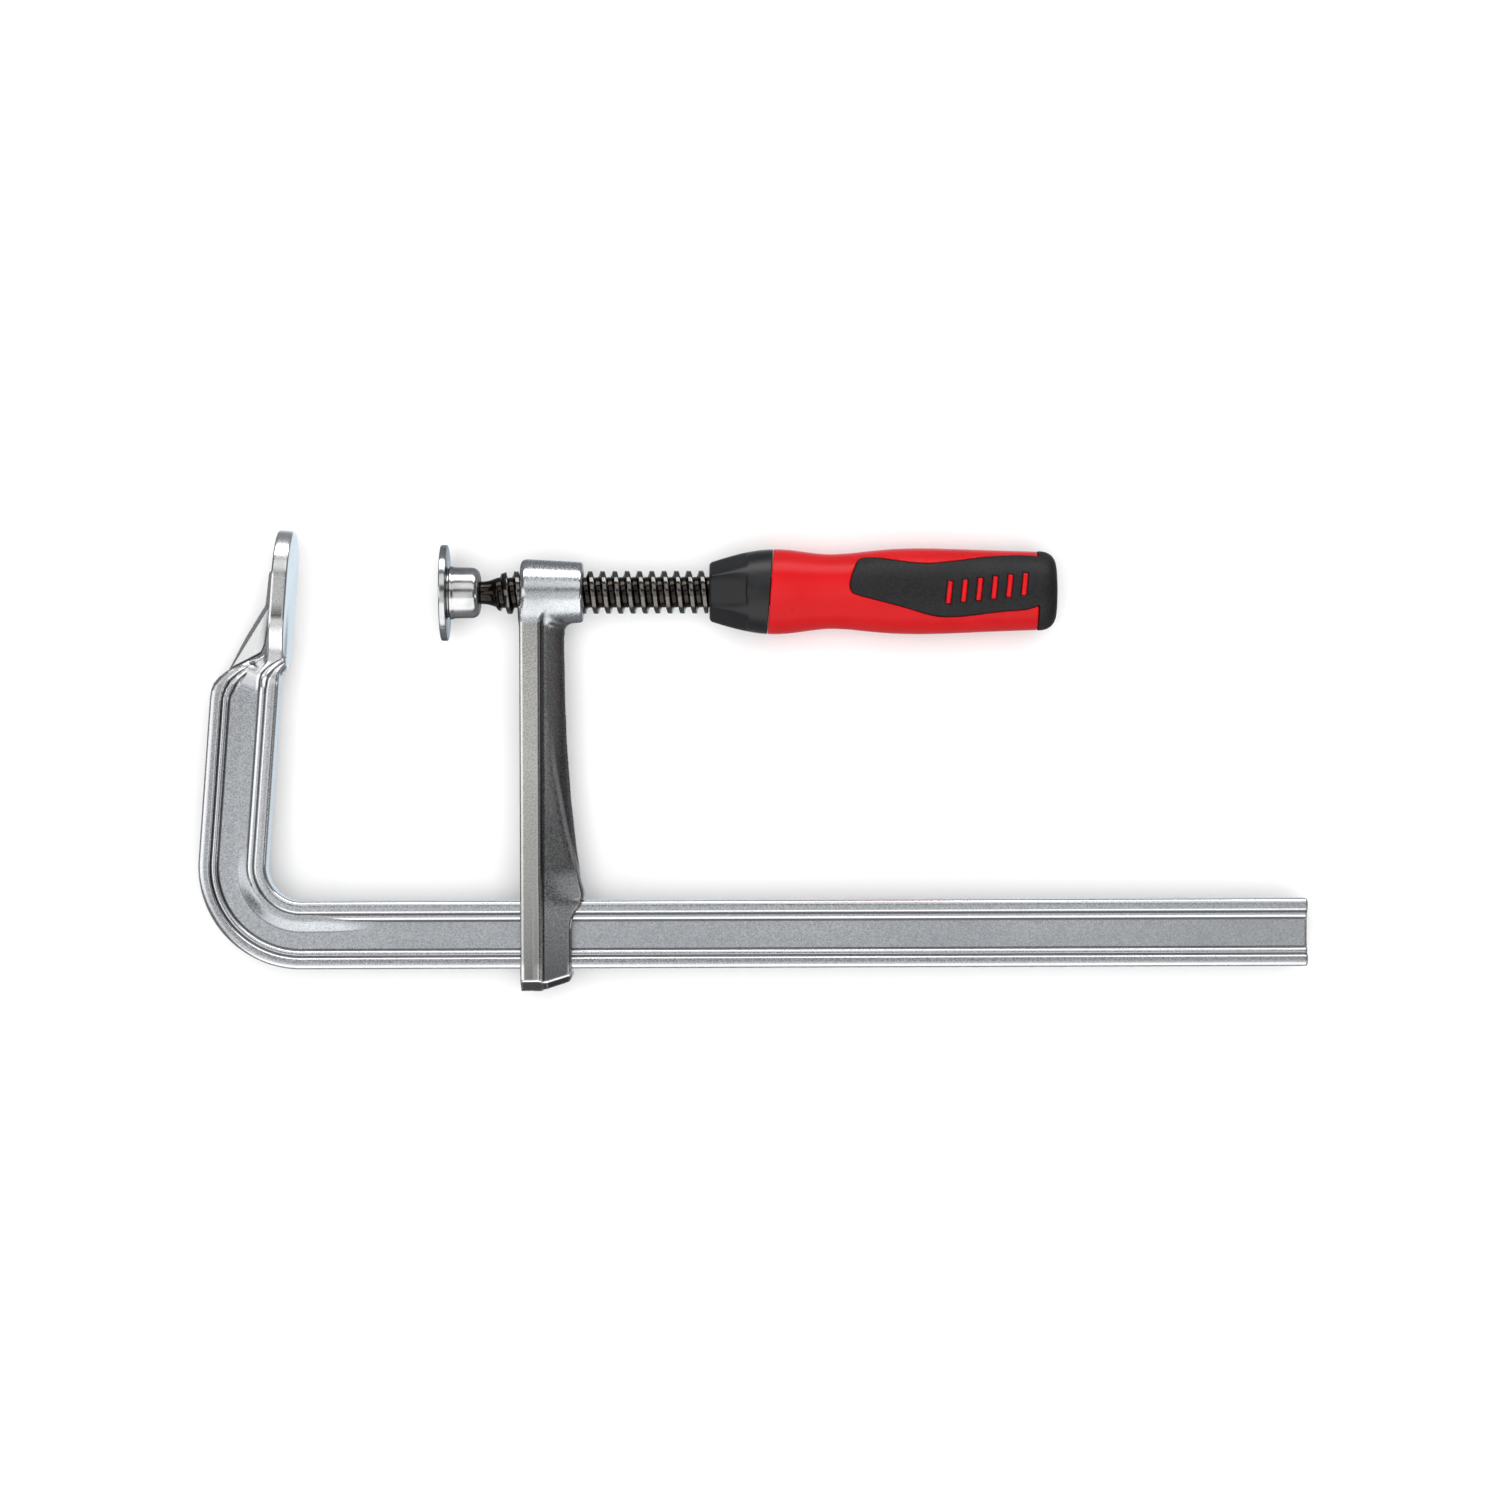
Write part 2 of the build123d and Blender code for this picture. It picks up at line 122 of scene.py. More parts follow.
def polygon(x, y, points):
    """Signed distance to a closed outline, negative inside."""
    inside = np.zeros(np.broadcast(x, y).shape, bool)
    for (ax, ay), (bx, by) in zip(points, points[1:] + points[:1]):
        if ay != by:
            crosses = (ay > y) != (by > y)
            inside ^= crosses & (x < (bx - ax) * (y - ay) / (by - ay) + ax)
    return np.where(inside, -1, 1) * line_distance(x, y, points, True)


def rounded(points, steps=6):
    """The closed outline as a smooth curve that runs close to its points."""
    p = np.array(points, float)
    before, after = (np.roll(p, 1, 0) + p) / 2, (np.roll(p, -1, 0) + p) / 2
    out = []
    for a, b, c in zip(before, p, after):
        for t in np.arange(steps) / steps:
            out.append(tuple((1 - t) ** 2 * a + 2 * t * (1 - t) * b + t * t * c))
    return out


def curve(x, points):
    """Smooth interpolation through (x, value) points."""
    px, py = np.array(points, float).T
    slope = np.gradient(py, px)
    i = np.clip(np.searchsorted(px, x) - 1, 0, len(px) - 2)
    h = px[i + 1] - px[i]
    t = np.clip((x - px[i]) / h, 0, 1)
    return (
        (1 + 2 * t) * (1 - t) ** 2 * py[i] + t * (1 - t) ** 2 * h * slope[i]
        + t * t * (3 - 2 * t) * py[i + 1] + t * t * (t - 1) * h * slope[i + 1]
    )


def mesh_object(name, points, faces, edge=None):
    """A smooth-shaded object from points in millimetres. edge says how sharply each point's
    surroundings bend, positive where they stand out and negative in a hollow."""
    mesh = bpy.data.meshes.new(name)
    if isinstance(faces, np.ndarray):
        faces = faces.tolist()
    mesh.from_pydata((np.asarray(points) * MM).tolist(), [], faces)
    mesh.update()
    mesh.shade_smooth()
    if edge is not None:
        mesh.attributes.new("edge", "FLOAT", "POINT").data.foreach_set("value", edge)
    obj = bpy.data.objects.new(name, mesh)
    bpy.context.scene.collection.objects.link(obj)
    return obj


def even(low, high, step):
    """Grid lines for each axis of a box, about a step apart."""
    return [np.linspace(a, b, int((b - a) / step) + 2) for a, b in zip(low, high)]


def net(field, axes):
    """Points and quads of the field's zero surface on a grid of the given lines."""
    grid = np.meshgrid(*axes, indexing="ij", sparse=True)
    f = np.broadcast_to(field(*grid), [len(a) for a in axes]).astype(np.float32)
    inside = f < 0
    cells = [n - 1 for n in f.shape]
    count = np.zeros(cells, np.int8)
    corners = [(i, j, k) for i in (0, 1) for j in (0, 1) for k in (0, 1)]
    for i, j, k in corners:
        count += inside[i : cells[0] + i, j : cells[1] + j, k : cells[2] + k]
    active = np.argwhere((count > 0) & (count < 8))
    number = np.full(cells, -1)
    number[tuple(active.T)] = np.arange(len(active))
    total, hits = np.zeros((len(active), 3)), np.zeros(len(active))
    for a in corners:
        for axis in range(3):
            if a[axis]:
                continue
            b = tuple(1 if n == axis else c for n, c in enumerate(a))
            fa, fb = f[tuple((active + a).T)], f[tuple((active + b).T)]
            cut = (fa < 0) != (fb < 0)
            t = np.where(cut, fa / np.where(cut, fa - fb, 1), 0)
            at = active + np.array(a) + t[:, None] * (np.array(b) - a)
            total += np.where(cut[:, None], at, 0)
            hits += cut
    total /= hits[:, None]
    points = np.column_stack([
        np.interp(total[:, i], np.arange(len(line)), line) for i, line in enumerate(axes)
    ])
    quads = []
    for axis in range(3):
        u, v = (axis + 1) % 3, (axis + 2) % 3
        a = np.take(inside, range(cells[axis]), axis)
        b = np.take(inside, range(1, cells[axis] + 1), axis)
        at = np.argwhere(a != b)
        flip = ~a[tuple(at.T)]
        ring = []
        for du, dv in ((-1, -1), (0, -1), (0, 0), (-1, 0)):
            cell = at.copy()
            cell[:, u] += du
            cell[:, v] += dv
            ring.append(number[tuple(cell.T)])
        ring = np.array(ring).T
        ring[flip] = ring[flip][:, ::-1]
        quads.append(ring)
    return points, np.concatenate(quads)


def around(field, points, reach):
    """The field's slope at points and its mean bend there, taken over a reach in millimetres."""
    middle = field(*points.T)
    slope, bend = np.empty_like(points), np.zeros(len(points))
    for axis in range(3):
        d = np.zeros(3)
        d[axis] = reach
        ahead, behind = field(*(points + d).T), field(*(points - d).T)
        slope[:, axis] = (ahead - behind) / (2 * reach)
        bend += (ahead + behind - 2 * middle) / reach**2
    return middle, slope, bend


def sculpt(field, axes, step):
    """The field's surface, its points settled exactly on it, and how it bends at each."""
    points, quads = net(field, axes)
    for _ in range(3):
        value, slope, _ = around(field, points, step * 0.2)
        size = np.maximum((slope**2).sum(1), 0.05)
        move = -(value / size)[:, None] * slope
        length = np.maximum(np.linalg.norm(move, axis=1), 1e-9)
        points += move * np.minimum(1, 0.35 * step / length)[:, None]
    _, slope, bend = around(field, points, 0.35)
    return points, quads, bend / np.maximum(np.linalg.norm(slope, axis=1), 0.3)


HEAD_STEP, ARM_STEP, HANDLE_STEP = ((0.32, 0.38, 0.36))
SCREW_STEP, SCREW_SIDES = ((0.14, 112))


# --- the rail's section -------------------------------------------------------------------------------
SECTION = [  # distance in from the rail's edge, half thickness
    (0.0, 5.2), (2.0, 5.25), (3.35, 5.15), (3.65, 4.85), (3.9, 3.8), (4.1, 3.58), (4.4, 3.72),
    (5.3, 3.66), (5.75, 3.4), (6.05, 2.62), (6.35, 2.42), (11.0, 2.36),
]


def section(d):
    """Half thickness of the rail at a distance from its edge."""
    return np.interp(d, *np.array(SECTION).T)


# --- rail and fixed arm, worked out as if the bent bar were straight ----------------------------------
# n runs across the bar towards the throat and s along it: above BEND_TOP as in the leaning fixed arm,
# below it round the bend and along the rail.
COS, SIN = math.cos(LEAN), math.sin(LEAN)
BEND_MIDDLE = np.array([BEND_X, RAIL_Y + BEND_RADIUS])
BEND_TOP = BEND_MIDDLE @ (SIN, COS)
BEND_FOOT = BEND_TOP - BEND_RADIUS * (math.pi / 2 + LEAN)
BAR_END = BEND_FOOT - (RAIL_END_X - BEND_X)
BAR_LEFT = [
    (-23.5, BAR_END - 30), (-23.5, -36.0), (-23.3, -33.2), (-22.6, -30.9), (-21.0, -28.7),
    (-18.4, -26.4), (-14.5, -24.2), (-10.6, -21.9), (-7.6, -20.2), (-5.9, -17.0), (-4.4, -4.0),
]
BAR_RIGHT = [(-0.9, -4.0), (-0.9, -21.0), (-1.3, -24.0), (-1.5, -26.0), (-1.5, BAR_END - 30)]
CREASE_LEFT = [
    (-23.5, BAR_END - 30), (-23.5, -36.0), (-23.2, -33.4), (-22.0, -30.4), (-19.6, -27.6),
    (-16.0, -25.0), (-12.0, -22.4), (-6.0, -18.6),
]
CREASE_RIGHT = [
    (-1.5, BAR_END - 30), (-1.5, -32.0), (-1.35, -30.0), (-0.9, -28.5), (-0.1, -27.2), (1.0, -26.1),
    (2.5, -24.9), (4.4, -23.5), (7.0, -21.6),
]
GUSSET = [(-1.0, -26.0), (-21.2, -29.0), (-7.9, -4.4), (-7.5, 6.0), (-4.4, 10.5), (-1.0, 10.5)]
GUSSET_HALF, GUSSET_DRAFT, GUSSET_BEVEL = 3.75, 0.26, 1.3
GUSSET_THIN_FROM = -5.5  # the gusset gets thinner behind this n
WEB_HALF = SECTION[-1][1]
HEAD_FLAT = 2.9  # how far the web rises to meet the forged head
PIT_AT, PIT_DEPTH, PIT_REACH = (-10.7, -23.6), 0.9, (1.5, 1.1)
GROOVE_INSETS, GROOVE_DEPTH, GROOVE_WIDTH = (4.05, 6.2), 0.4, 0.4  # drawn into the head's flanges
SWELL = 1.45  # how far the web stands up on the inside of the bend


def bar_field(n, s, z):
    """Rail, fixed arm, gusset and jaw plate."""
    z = np.abs(z)
    left, right = line_distance(n, s, CREASE_LEFT), line_distance(n, s, CREASE_RIGHT)
    left = left * (1 + 0.8 * ramp(s, -34, -25))
    right = right * (0.95 + 0.5 * ramp(s, -27, -19))
    flange = np.maximum(section(left), section(right))
    run_out = WEB_HALF + HEAD_FLAT * ramp(s + 0.35 * (n + 12), -32.5, -25.0)
    flange = smooth_max(flange, run_out, 0.5)
    along = s - PIT_AT[1]
    across = n - PIT_AT[0] + 0.5 * along
    pit = PIT_DEPTH * np.exp(-((across / PIT_REACH[0]) ** 2) - (along / PIT_REACH[1]) ** 2)
    head = ramp(s, -34, -29)
    for edge, fade in ((left, 1 - ramp(n, -15, -11)), (right, 1)):
        for at in GROOVE_INSETS:
            pit = pit + GROOVE_DEPTH * head * fade * np.exp(-(((edge - at) / GROOVE_WIDTH) ** 2))
    bent = ramp(BEND_TOP - s, -12, 20) * (1 - ramp(BEND_FOOT - s, 2, 32))
    flange = np.maximum(flange, WEB_HALF + SWELL * bent * (1 - ramp(right, 5.7, 10.4)))
    bar = smooth_max(polygon(n, s, BAR_LEFT + BAR_RIGHT), z - flange + pit, 1.7)
    bar = smooth_max(bar, BAR_END - s, 0.9)
    side = z - GUSSET_HALF - GUSSET_DRAFT * np.minimum(n - GUSSET_THIN_FROM, 0)
    outline = polygon(n, s, GUSSET)
    gusset = smooth_max(outline, 0.77 * (outline + GUSSET_BEVEL) + 0.64 * side, 0.25)
    gusset = smooth_max(gusset, side, 0.35)
    radius = JAW_WIDTH / 2
    reach = np.maximum(np.abs(s - JAW_MIDDLE) - JAW_HEIGHT / 2 + radius, 0)
    plate = smooth_max(np.hypot(reach, z) - radius, np.abs(n + JAW_THICK / 2) - JAW_THICK / 2, 0.85)
    return smooth_min(smooth_min(bar, gusset, 0.6), plate, 1.6 + 2.6 * ramp(-s, 0, 18))


def bar_in_place(points):
    """Straight-bar points moved to where the bent bar is."""
    n, s, z = points.T
    turn = np.clip((BEND_TOP - s) / BEND_RADIUS, 0, math.pi / 2 + LEAN)
    along = s - BEND_TOP + turn * BEND_RADIUS  # left over above (+) or below (-) the bend
    angle = turn - LEAN  # 0 where the bar points along +Y, a right angle where it is the rail
    reach = n - ARM_MIDDLE - BEND_RADIUS
    x = BEND_X + reach * np.cos(angle) - along * np.sin(angle)
    y = BEND_MIDDLE[1] + reach * np.sin(angle) + along * np.cos(angle)
    return np.column_stack([x, y, z])


def rail_with_fixed_jaw():
    """The bar meshed straight, finely at its head and end, then bent into place."""
    step = HEAD_STEP
    lines = [
        np.arange(21.8, -46, -step), np.arange(-46, BEND_TOP, -1.5),
        np.linspace(BEND_TOP, BEND_FOOT, 61), np.arange(BEND_FOOT, BEND_FOOT - 36, -1.3),
        np.linspace(BEND_FOOT - 38, BAR_END + 3, 70),
        np.arange(BAR_END + 2, BAR_END - 0.9, -step),
    ]
    axes = even((-25.2, 0, -16.2), (1.2, 0, 16.2), step)
    axes[1] = np.unique(np.concatenate(lines))
    points, quads, edge = sculpt(bar_field, axes, step)
    return mesh_object("rail_and_jaw", bar_in_place(points), quads, edge)


# --- sliding arm --------------------------------------------------------------------------------------
FLANGE_RIGHT, FLANGE_HALF = 81.2, 8.3
FOOT_Y = -129.4
FOOT_BEVEL = (3.4, 2.3)  # on the flange and on the cheeks
ARM_BACK = [
    (91.4, -7.0), (90.6, -9.8), (89.3, -11.8), (88.8, -15.0), (89.3, -32.5), (89.7, -49.7),
    (90.7, -67.0), (92.6, -84.2), (93.9, -92.6), (94.9, -97.6), (94.8, -101.2), (92.7, -103.6),
    (91.5, -106.0), (91.1, -109.0), (91.1, -124.6), (90.0, -126.4), (82.6, -128.8),
]
RIDGE_X = [(-128, 96.0), (-96.5, 94.9), (-89, 92.6), (-78.3, 89.7), (-66, 87.3), (-54.6, 85.4),
           (-40.3, 84.3), (-8, 84.0)]
BODY_HALF = [(-130, 7.4), (-108, 7.4), (-101, 7.3), (-95, 6.9), (-89, 6.3), (-80, 6.0), (-60, 5.9),
             (-30, 5.6), (-8, 5.8)]
BODY_FOOT = [(81.0, -129.4), (82.6, -128.8), (91.1, -126.2)]  # lower edge, seen from the side
STEM_DRAFT, SLOPE = 0.22, 0.75  # fall of the side in front of the ridge, and the rest of it behind
RIDGE_ROUND = 0.8
EDGE_ROUND, ROOT_FILLET, BOSS_FILLET = 1.3, 1.2, 2.4
STEM_LEVEL = 0.93  # keeps the sloping side's field near a true distance
BEVEL_UP, BEVEL_DOWN = 0.45, 0.89  # direction of the foot's bevel, along Z and along -Y
BOSS_ROUND = (2.6, 1.2)  # at the front and at the back
BORE_GAP, SLOT_GAP = 0.15, 0.35


def arm_field(x, y, z):
    """Forged sliding arm with its boss, bore and rail slot."""
    z = np.abs(z)
    front = [(ARM_FRONT_X, -5.0), (ARM_FRONT_X, FOOT_Y), (FLANGE_RIGHT, FOOT_Y),
             (FLANGE_RIGHT, -5.0)]
    flange = smooth_max(polygon(x, y, front), z - FLANGE_HALF, EDGE_ROUND)
    ridge, half = curve(y, RIDGE_X), curve(y, BODY_HALF)
    back = x - ridge
    fall = STEM_DRAFT * (x - FLANGE_RIGHT) * (1 - 0.6 * ramp(-y, 90, 102))
    fall = fall + SLOPE * (np.sqrt(back**2 + RIDGE_ROUND**2) + back - 0.4 * RIDGE_ROUND) / 2
    body = polygon(x, y, [(79.0, -7.0)] + ARM_BACK + [(79.0, -128.8)])
    body = smooth_max(body, (z - half + fall) * STEM_LEVEL, EDGE_ROUND)
    f = smooth_min(flange, body, ROOT_FILLET)
    foot = np.interp(x, *np.array(BODY_FOOT).T) + np.interp(x, (81.0, 83.0), FOOT_BEVEL)
    top = np.interp(x, (FLANGE_RIGHT, 83.0), (0.0, 1.0)) * (half - fall - FLANGE_HALF) + FLANGE_HALF
    f = smooth_max(f, BEVEL_UP * (z - top) + BEVEL_DOWN * (foot - y), 0.4)
    r = np.hypot(y, z)
    along = (x - BOSS_X0) / (BOSS_X1 - BOSS_X0)
    middle, reach = (BOSS_X0 + BOSS_X1) / 2, (BOSS_X1 - BOSS_X0) / 2
    cone = r - BOSS_R0 - (BOSS_R1 - BOSS_R0) * along
    boss = smooth_max(cone, np.abs(x - middle) - reach, np.where(x < middle, *BOSS_ROUND))
    f = smooth_min(f, boss, BOSS_FILLET)
    f = smooth_max(f, THREAD_R + BORE_GAP - r, 0.6)
    slot = np.maximum(np.abs(y - RAIL_Y) - RAIL_HEIGHT / 2, z - RAIL_THICK / 2) - SLOT_GAP
    return smooth_max(f, -slot, 0.5)


def sliding_arm():
    """The arm, with a painted highlight marked along its ridge and the edge of its foot."""
    low, high = box_mm("sliding_arm")
    points, quads, edge = sculpt(arm_field, even(low - 1, high + 1, ARM_STEP), ARM_STEP)
    x, y, _ = points.T
    # Painted highlight along the ridge and the foot's edge, kept as a point attribute.
    ridge = 1 - ramp(np.abs(x - curve(y, RIDGE_X)), 0.25, 0.95)
    ridge = ridge * ramp(-y, 42, 60) * (1 - ramp(-y, 93, 97))
    foot = ramp(-y, 119, 122) * np.clip(edge * 1.2, 0, 1)
    obj = mesh_object("arm_forging", points, quads, edge)
    wear_and_glint = obj.data.attributes.new("wear_and_glint", "FLOAT", "POINT")
    wear_and_glint.data.foreach_set("value", np.maximum(ridge, foot))
    return obj


# --- turned pieces ------------------------------------------------------------------------------------
def turned(name, profile, sides=144):
    """Solid of revolution about the screw axis from closed (x, radius) points, or from axis to axis."""
    profile = np.array(profile, float)
    x, r = profile.T
    a = np.linspace(0, 2 * math.pi, sides, endpoint=False)
    points = np.stack([
        np.broadcast_to(x[:, None], (len(x), sides)), r[:, None] * np.sin(a), r[:, None] * np.cos(a)
    ], -1).reshape(-1, 3)
    on_axis = r < 1e-6
    open_ends = on_axis[0] and on_axis[-1]
    rows = len(x) - 1 if open_ends else len(x)
    faces = []
    for i in range(rows):
        k = (i + 1) % len(x)
        for j in range(sides):
            m = (j + 1) % sides
            if on_axis[i]:
                faces.append((i * sides, k * sides + m, k * sides + j))
            elif on_axis[k]:
                faces.append((i * sides + j, i * sides + m, k * sides))
            else:
                faces.append((i * sides + j, i * sides + m, k * sides + m, k * sides + j))
    used = np.unique(np.concatenate([np.array(f) for f in faces]))
    new = np.full(len(points), -1)
    new[used] = np.arange(len(used))
    return mesh_object(name, points[used], [tuple(int(new[v]) for v in f) for f in faces])


def softened(points, radius, steps=5):
    """The closed outline with its corners turned into small arcs."""
    p = np.array(points, float)
    out = []
    for a, b, c in zip(np.roll(p, 1, 0), p, np.roll(p, -1, 0)):
        la, lc = np.linalg.norm(a - b), np.linalg.norm(c - b)
        cut = min(radius, 0.45 * la, 0.45 * lc)
        start, stop = b + (a - b) * cut / la, b + (c - b) * cut / lc
        for t in np.linspace(0, 1, steps):
            out.append(tuple((1 - t) ** 2 * start + 2 * t * (1 - t) * b + t * t * stop))
    return out


BALL_X, BALL_R = 55.6, 4.6
GROOVE_X, GROOVE_R, NECK_R = (57.4, 58.6), 3.2, 3.7
NECK_FLARE = [(60.5, NECK_R), (62.6, NECK_R), (64.0, 3.9), (65.3, 4.25), (66.6, 4.75)]
LEAD_FROM, LEAD_TO = (64.0, 4.5), (70.6, THREAD_R + 0.05)  # the crests' taper at the front
TANG_END_X, TANG_R = 187.8, 4.5
CREST = [(0.0, 2.0), (0.56, 2.0), (0.72, 1.9), (1.2, 0.16), (1.42, 0.0), (2.0, 0.0)]  # way off, height
STEP = 0.02  # stands for a sharp step in a profile


def spindle():
    """Ball end, neck, screw and tang as one skin: a radius for each place along and round the axis."""
    ball = [(BALL_X - BALL_R * math.cos(a), BALL_R * math.sin(a))
            for a in np.linspace(0, math.pi / 2 + 0.4, 20)]
    nose = ball + [
        (GROOVE_X[0], GROOVE_R + 0.95), (GROOVE_X[0] + STEP, GROOVE_R), (GROOVE_X[1], GROOVE_R),
        (GROOVE_X[1] + STEP, NECK_R),
    ] + NECK_FLARE
    screw_end = COLLAR_FRONT_X + 0.6
    x = np.concatenate([
        [p[0] for p in nose], np.arange(67.2, screw_end, SCREW_STEP), [screw_end + 0.4, TANG_END_X],
        [TANG_END_X + STEP],
    ])
    a = np.linspace(0, 2 * math.pi, SCREW_SIDES, endpoint=False)
    rest = [(67.4, ROOT_R), (screw_end, ROOT_R), (screw_end + 0.4, TANG_R), (TANG_END_X, TANG_R)]
    base = np.interp(x, *np.array(nose + rest).T)
    base[: len(nose)] = [p[1] for p in nose]
    base[-1] = 0
    phase = (x[:, None] - THREAD_TOP_X) / PITCH + (a[None] - math.pi / 2) / (2 * math.pi)
    off = np.abs(phase - np.round(phase)) * PITCH  # distance from the nearest crest's middle
    crest = np.interp(off, *np.array(CREST).T)
    lead = LEAD_FROM[1] + (x - LEAD_FROM[0]) * (LEAD_TO[1] - LEAD_FROM[1]) / (LEAD_TO[0] - LEAD_FROM[0])
    on = ((x > 67.0) & (x < COLLAR_FRONT_X - 0.3))[:, None]
    r = np.where(on, np.minimum(ROOT_R + crest, np.maximum(lead, ROOT_R)[:, None]), base[:, None])
    points = np.stack([np.broadcast_to(x[:, None], r.shape), r * np.sin(a), r * np.cos(a)], -1)
    n = len(a)
    faces = []
    for i in range(1, len(x) - 2):
        for j in range(n):
            k = (j + 1) % n
            faces.append((i * n + j, i * n + k, (i + 1) * n + k, (i + 1) * n + j))
    tip, end = 0, (len(x) - 1) * n
    for j in range(n):
        k = (j + 1) % n
        faces.append((tip, n + k, n + j))
        faces.append((end, end - n + j, end - n + k))
    keep = [tip] + list(range(n, end)) + [end]
    new = {old: i for i, old in enumerate(keep)}
    faces = [tuple(new[v] for v in f) for f in faces]
    return mesh_object("screw", points.reshape(-1, 3)[keep], faces)


PLATE_FACE_X, PLATE_BACK_X, PLATE_R = 48.8, 51.0, 15.6
CUP_R, CUP_FOOT_R, CUP_END_X, MOUTH_R = 8.2, 8.75, 61.5, 5.2
SEAT_R, ROOM_R, ROOM_END_X = 4.75, 6.6, 59.9
CUP_ROUND, CUP_UNDERCUT, FACE_FROM_R = 2.7, 0.75, 3.0


def pressure_plate():
    """The disc and its cup as one turned skin, with the seat for the ball inside."""
    outer = softened([
        (PLATE_FACE_X, FACE_FROM_R), (PLATE_FACE_X, PLATE_R), (PLATE_BACK_X, PLATE_R),
        (PLATE_BACK_X, CUP_FOOT_R - CUP_UNDERCUT), (PLATE_BACK_X + 0.55, CUP_FOOT_R - CUP_UNDERCUT),
        (PLATE_BACK_X + 0.65, CUP_FOOT_R), (PLATE_BACK_X + 1.3, CUP_FOOT_R - 0.1),
        (PLATE_BACK_X + 2.2, CUP_R + 0.12), (CUP_END_X, CUP_R), (CUP_END_X, MOUTH_R),
        (ROOM_END_X, MOUTH_R), (ROOM_END_X, ROOM_R), (BALL_X, ROOM_R), (BALL_X, SEAT_R),
    ], 0.5, 6)
    round_x, round_r = CUP_END_X - CUP_ROUND, CUP_R - CUP_ROUND
    round_rim = [(round_x + CUP_ROUND * math.sin(a), round_r + CUP_ROUND * math.cos(a))
                 for a in np.linspace(0, math.pi / 2, 14)]
    first = [p for p in outer if p[0] <= round_x and p[1] > CUP_R - 1.2]
    shell = [(PLATE_FACE_X, 0.0)] + [p for p in first if p[1] >= FACE_FROM_R] + round_rim
    inner = [p for p in outer[-24:] if p[1] < ROOM_R + 0.1]
    seat = [(BALL_X - SEAT_R * math.sin(a), SEAT_R * math.cos(a))
            for a in np.linspace(0.05, math.pi / 2, 16)]
    seat[-1] = (BALL_X - SEAT_R, 0.0)
    return turned("plate_and_cup", shell + inner + seat)


# --- handle -------------------------------------------------------------------------------------------
GRIP_DEPTH, GRIP_PROUD = 1.6, 0.2
STRIPE_HALF, STRIPE_ROUND = 5.8, 2.4
GRIP_OUTLINE = [
    (184.2, 10.3), (186.2, 11.05), (191.0, 10.5), (199.6, 9.1), (205.8, 8.5), (212.0, 8.9),
    (227.1, 11.0), (CAP_X + 3, 13.6), (CAP_X + 3, -6.2), (230.7, -6.9), (219.3, -8.5),
    (212.2, -8.9), (207.0, -8.2), (199.6, -5.8), (187.8, -2.7), (182.6, -1.3), (181.3, 0.0),
    (181.2, 2.6), (182.6, 6.9),
]
MARK_COUNT, MARK_PITCH, MARK_SIZE = 6, 4.9, (1.7, 7.4)
MARK_CENTRE, MARK_TILT, MARK_SHEAR = (225.4, 0.4), math.radians(6.0), math.radians(12.0)
FLATS_END_X, FLAT_APOTHEM = 147.9, (8.45, 12.1)
SEAM = 0.05
BORE_R, BORE_SPARE = 5.05, 0.6
END_ROUND = 5.4


def handle_radius(x):
    """The handle's radius along it."""
    return curve(x, HANDLE_PROFILE)


def handle_skin(x, r, grow):
    """Distance to the handle's outer skin, with its rounded end."""
    end = HANDLE_PROFILE[-1][0]
    return smooth_max((r - handle_radius(x)) * 0.97, x - end, END_ROUND) - grow


def marks(x, y):
    """Distance to the plain slanted bars in the grip."""
    best = None
    c, s = math.cos(MARK_TILT - MARK_SHEAR), math.sin(MARK_TILT - MARK_SHEAR)
    for i in range(MARK_COUNT):
        step = (i - (MARK_COUNT - 1) / 2) * MARK_PITCH
        dx = x - MARK_CENTRE[0] - step * math.cos(MARK_TILT)
        dy = y - MARK_CENTRE[1] - step * math.sin(MARK_TILT)
        u = np.abs(dx * c + dy * s) - MARK_SIZE[0] / 2
        v = np.abs(-dx * s + dy * c) - MARK_SIZE[1] / 2
        d = np.maximum(u, v)
        best = d if best is None else np.minimum(best, d)
    return best


def grip_area(x, y, z):
    """Negative where the handle's skin is soft: inside the outline seen along Z, and clear of the
    hard stripe between the two sides."""
    outline = polygon(x, y, rounded(GRIP_OUTLINE, 3))
    outline = smooth_max(outline, STRIPE_HALF - np.abs(z), STRIPE_ROUND)
    inlay = smooth_max(outline, -marks(x, y), 0.25)
    return smooth_min(inlay, CAP_X - x, 0.4)


def collar_plane(x, y):
    """Distance past the slanted seam between the collar and the core."""
    return (x - COLLAR_BACK_X) * math.cos(COLLAR_SLANT) - y * math.sin(COLLAR_SLANT)


def grip_field(x, y, z):
    """Soft inlays and end cap."""
    r = np.hypot(y, z)
    shell = smooth_max(handle_skin(x, r, GRIP_PROUD), grip_area(x, y, z) + SEAM, 0.45)
    inside = np.minimum(handle_radius(x) - GRIP_DEPTH - r, CAP_X + SEAM - x)
    return smooth_max(shell, inside, 0.2)


def core_field(x, y, z):
    """Hard core, hollowed for the inlays and bored for the tang."""
    r = np.hypot(y, z)
    skin = handle_skin(x, r, 0)
    f = smooth_max(skin, np.maximum(x - CAP_X, -collar_plane(x, y)) + SEAM, 0.35)
    pocket = np.maximum(grip_area(x, y, z) - SEAM, -(r - handle_radius(x) + GRIP_DEPTH - 0.05))
    f = smooth_max(f, -pocket, 0.25)
    bore = np.maximum(r - BORE_R, x - TANG_END_X - BORE_SPARE)
    return smooth_max(f, -bore, 0.2)


